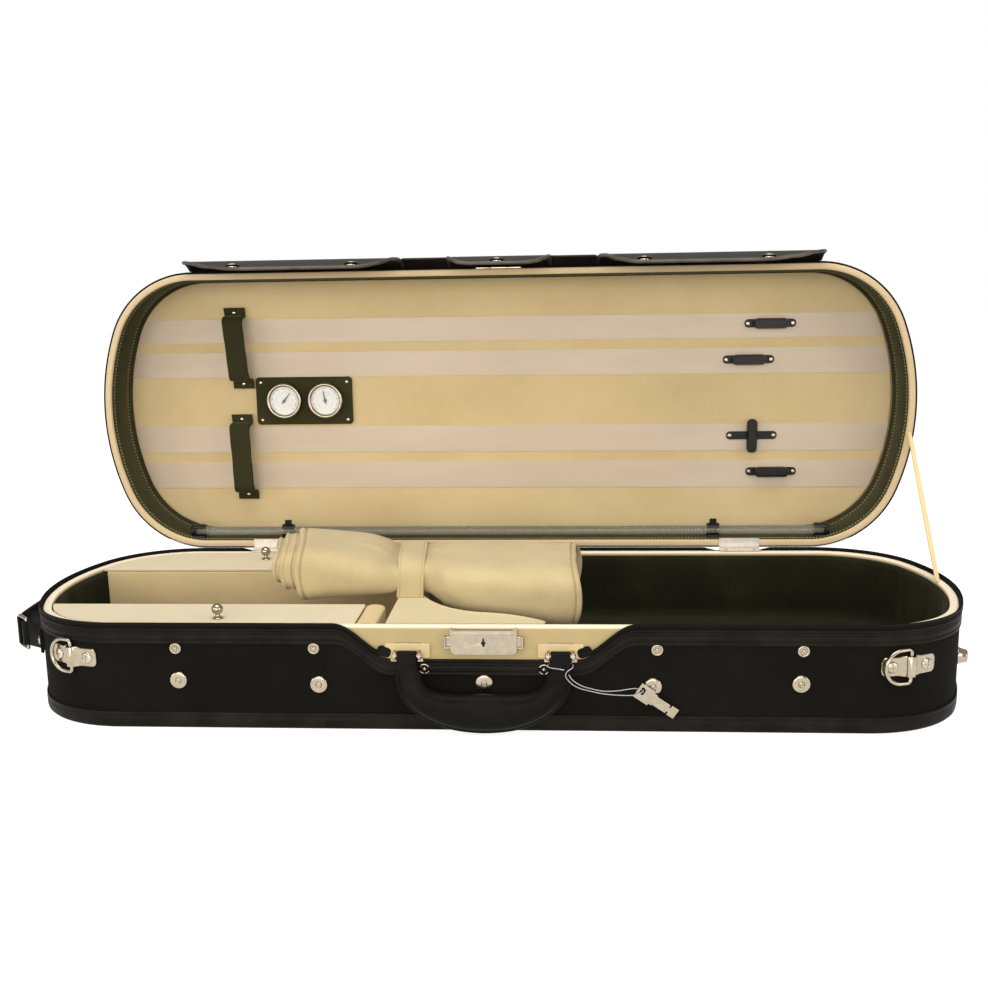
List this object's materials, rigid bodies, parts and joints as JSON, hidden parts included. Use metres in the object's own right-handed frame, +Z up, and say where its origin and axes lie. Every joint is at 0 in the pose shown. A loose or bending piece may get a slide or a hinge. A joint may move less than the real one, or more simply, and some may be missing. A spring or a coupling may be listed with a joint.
{
  "type": "viola case",
  "caption": "Oblong fibreglass viola case standing open, with lined well, two lidded compartments, blanket, bow fittings, carry handle, lock and weather flap.",
  "frame": {"origin": "middle of the underside, between the case's two ends and between its front and back walls, on the plane the case stands on", "axes": "+X along the case to the right as seen from its front, +Y from the front with the lock and handle to the back with the hinges, +Z up; metres"},
  "size_m": [0.8458, 0.3752, 0.3831],
  "materials": {
    "woven_cover": "matte black woven cloth",
    "black_leather": "soft sheen, fine grain",
    "beige_rim": "smooth beige cloth-covered moulding",
    "tan_velour": "short-pile velour",
    "green_velvet": "deep pile velvet",
    "cream_blanket": "soft brushed cloth",
    "fibreglass": "moulded fibreglass, dull",
    "nickel": "polished nickel plate",
    "black_plastic": "smooth black plastic",
    "clear_plastic": "clear tube",
    "white_dial": "printed white face in a metal ring",
    "stay_ribbon": "woven ribbon",
    "white_cord": "thin clear cord"
  },
  "bodies": {
    "base": {"base_shell": "fibreglass", "base_bottom_cover": "black_leather", "base_side_cover": "woven_cover", "base_zipper": "woven_cover", "base_rim": "beige_rim", "well_lining": "green_velvet", "neck_rest": "cream_blanket", "front_box": "tan_velour", "rear_box": "tan_velour", "blanket": "cream_blanket", "neck_strap": "cream_blanket", "lock_plate": "nickel", "handle_bracket_left": "nickel", "handle_bracket_right": "nickel", "ring_plate_left": "nickel", "ring_plate_right": "nickel", "end_foot": "nickel", "end_anchor_front": "black_leather", "end_anchor_rear": "black_leather", "hinge_base_left": "nickel", "hinge_base_right": "nickel", "lid_stay": "stay_ribbon"},
    "lid": {"lid_shell": "fibreglass", "lid_cover": "woven_cover", "lid_rim": "beige_rim", "lid_zipper": "woven_cover", "lid_side_band": "green_velvet", "lid_panel": "tan_velour", "lock_striker": "nickel", "hinge_lid_left": "nickel", "hinge_lid_right": "nickel", "string_tube": "clear_plastic", "bow_sleeve_1": "green_velvet", "bow_sleeve_2": "green_velvet", "gauge_panel": "green_velvet", "gauge_1": "white_dial", "gauge_2": "white_dial", "toggle_plate_1": "black_plastic", "toggle_plate_2": "black_plastic", "toggle_plate_3": "black_plastic", "toggle_plate_4": "black_plastic"},
    "flap": {"weather_flap": "woven_cover"},
    "front_lid": {"front_box_lid": "tan_velour", "front_knob": "nickel"},
    "rear_lid": {"rear_box_lid": "tan_velour", "rear_knob": "nickel"},
    "lock_bar": {"lock_slide": "nickel"},
    "barrel": {"lock_barrel": "nickel"},
    "handle": {"carry_handle": "black_leather", "key": "nickel", "key_cord": "white_cord"},
    "left_ring": {"ring_left": "nickel"},
    "right_ring": {"ring_right": "nickel"},
    "side_handle": {"end_handle": "black_leather"},
    "turn_1": {"toggle_1": "black_plastic"},
    "turn_2": {"toggle_2": "black_plastic"},
    "turn_3": {"toggle_3": "black_plastic"},
    "turn_4": {"toggle_4": "black_plastic"},
    "pointer_1": {"needle_1": "black_plastic"},
    "pointer_2": {"needle_2": "black_plastic"}
  },
  "joints": [
    {"name": "lid_hinge", "type": "hinge", "parent": "base", "child": "lid", "pos_m": [0, 0.144, 0.087], "axis": [-1, 0, 0], "range_deg": [-90, 0], "deforming": ["lid_stay"]},
    {"name": "flap_fold", "type": "hinge", "parent": "lid", "child": "flap", "pos_m": [0, 0.167, 0.3723], "axis": [-1, 0, 0], "range_deg": [0, 100]},
    {"name": "front_box_lid_hinge", "type": "hinge", "parent": "base", "child": "front_lid", "pos_m": [0, -0.071, 0.089], "axis": [-1, 0, 0], "range_deg": [0, 75]},
    {"name": "rear_box_lid_hinge", "type": "hinge", "parent": "base", "child": "rear_lid", "pos_m": [0, 0.06, 0.089], "axis": [1, 0, 0], "range_deg": [0, 75]},
    {"name": "lock_slide_travel", "type": "slide", "parent": "base", "child": "lock_bar", "axis": [1, 0, 0], "range_m": [-0.003, 0.003]},
    {"name": "lock_barrel_turn", "type": "hinge", "parent": "base", "child": "barrel", "pos_m": [0, -0.142, 0.0757], "axis": [0, 1, 0], "range_deg": [0, 90]},
    {"name": "handle_swing", "type": "hinge", "parent": "base", "child": "handle", "pos_m": [0, -0.145, 0.0655], "axis": [-1, 0, 0], "range_deg": [0, 110]},
    {"name": "toggle_1_turn", "type": "hinge", "parent": "lid", "child": "turn_1", "pos_m": [0.273, 0.205, 0.3114], "axis": [0, -1, 0], "continuous": true},
    {"name": "toggle_2_turn", "type": "hinge", "parent": "lid", "child": "turn_2", "pos_m": [0.252, 0.205, 0.275], "axis": [0, -1, 0], "continuous": true},
    {"name": "toggle_3_turn", "type": "hinge", "parent": "lid", "child": "turn_3", "pos_m": [0.257, 0.205, 0.1966], "axis": [0, -1, 0], "continuous": true},
    {"name": "toggle_4_turn", "type": "hinge", "parent": "lid", "child": "turn_4", "pos_m": [0.278, 0.205, 0.1587], "axis": [0, -1, 0], "continuous": true},
    {"name": "needle_1_turn", "type": "hinge", "parent": "lid", "child": "pointer_1", "pos_m": [-0.2324, 0.196, 0.2378], "axis": [0, -1, 0], "range_deg": [-60, 60]},
    {"name": "needle_2_turn", "type": "hinge", "parent": "lid", "child": "pointer_2", "pos_m": [-0.1885, 0.196, 0.2378], "axis": [0, -1, 0], "range_deg": [-60, 60]},
    {"name": "ring_left_swing", "type": "hinge", "parent": "base", "child": "left_ring", "pos_m": [-0.34769, -0.13444, 0.0605], "axis": [0, 0, 1], "range_deg": [0, 150]},
    {"name": "ring_right_swing", "type": "hinge", "parent": "base", "child": "right_ring", "pos_m": [0.34103, -0.13717, 0.0565], "axis": [0, 0, 1], "range_deg": [0, 150]},
    {"name": "end_handle_play", "type": "slide", "parent": "base", "child": "side_handle", "axis": [0, 0, 1], "range_m": [0, 0.0024]}
  ]
}
